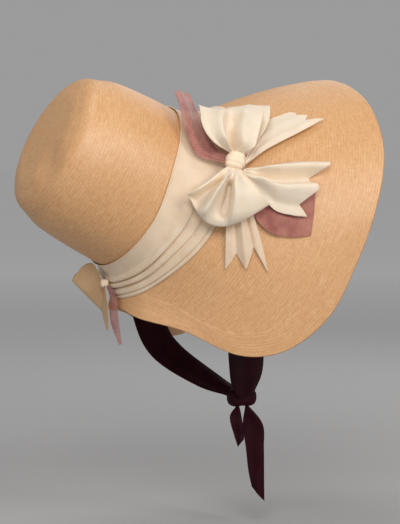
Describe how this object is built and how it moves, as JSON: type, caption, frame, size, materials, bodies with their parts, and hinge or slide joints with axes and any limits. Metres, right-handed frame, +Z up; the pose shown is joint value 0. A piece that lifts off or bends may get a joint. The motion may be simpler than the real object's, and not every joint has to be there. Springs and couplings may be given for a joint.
{
  "type": "straw bonnet",
  "caption": "Straw poke bonnet with a wide open brim, a pleated silk band, a side bow with gauze loops, a small nape bow and ribbon chin ties knotted in front.",
  "frame": {"origin": "centre of the ring where the crown meets the brim, where the head sits", "axes": "+Z up, the face looks along -Y, the wearer's right side is -X; the crown's axis rises towards +Y"},
  "size_m": [0.308, 0.3736, 0.4766],
  "materials": {
    "straw": "plaited straw, sewn in rows, satin",
    "silk": "cream silk ribbon, soft sheen",
    "gauze": "sheer mauve gauze",
    "tie_ribbon": "dark plum silk ribbon"
  },
  "bodies": {
    "root": {"crown": "straw", "brim": "straw", "band": "silk", "bow_knot": "silk", "bow_loop_upper": "silk", "bow_loop_behind": "silk", "bow_loop_lower": "silk", "bow_tail_right": "silk", "bow_tail_upper": "silk", "bow_tail_lower": "silk", "gauze_loop_upper": "gauze", "gauze_loop_lower": "gauze", "nape_knot": "silk", "nape_loop": "silk", "nape_tail": "silk", "nape_gauze_tail": "gauze", "tie_right": "tie_ribbon", "tie_left": "tie_ribbon", "tie_knot": "tie_ribbon", "tie_tail_long": "tie_ribbon", "tie_tail_short": "tie_ribbon"}
  },
  "joints": []
}
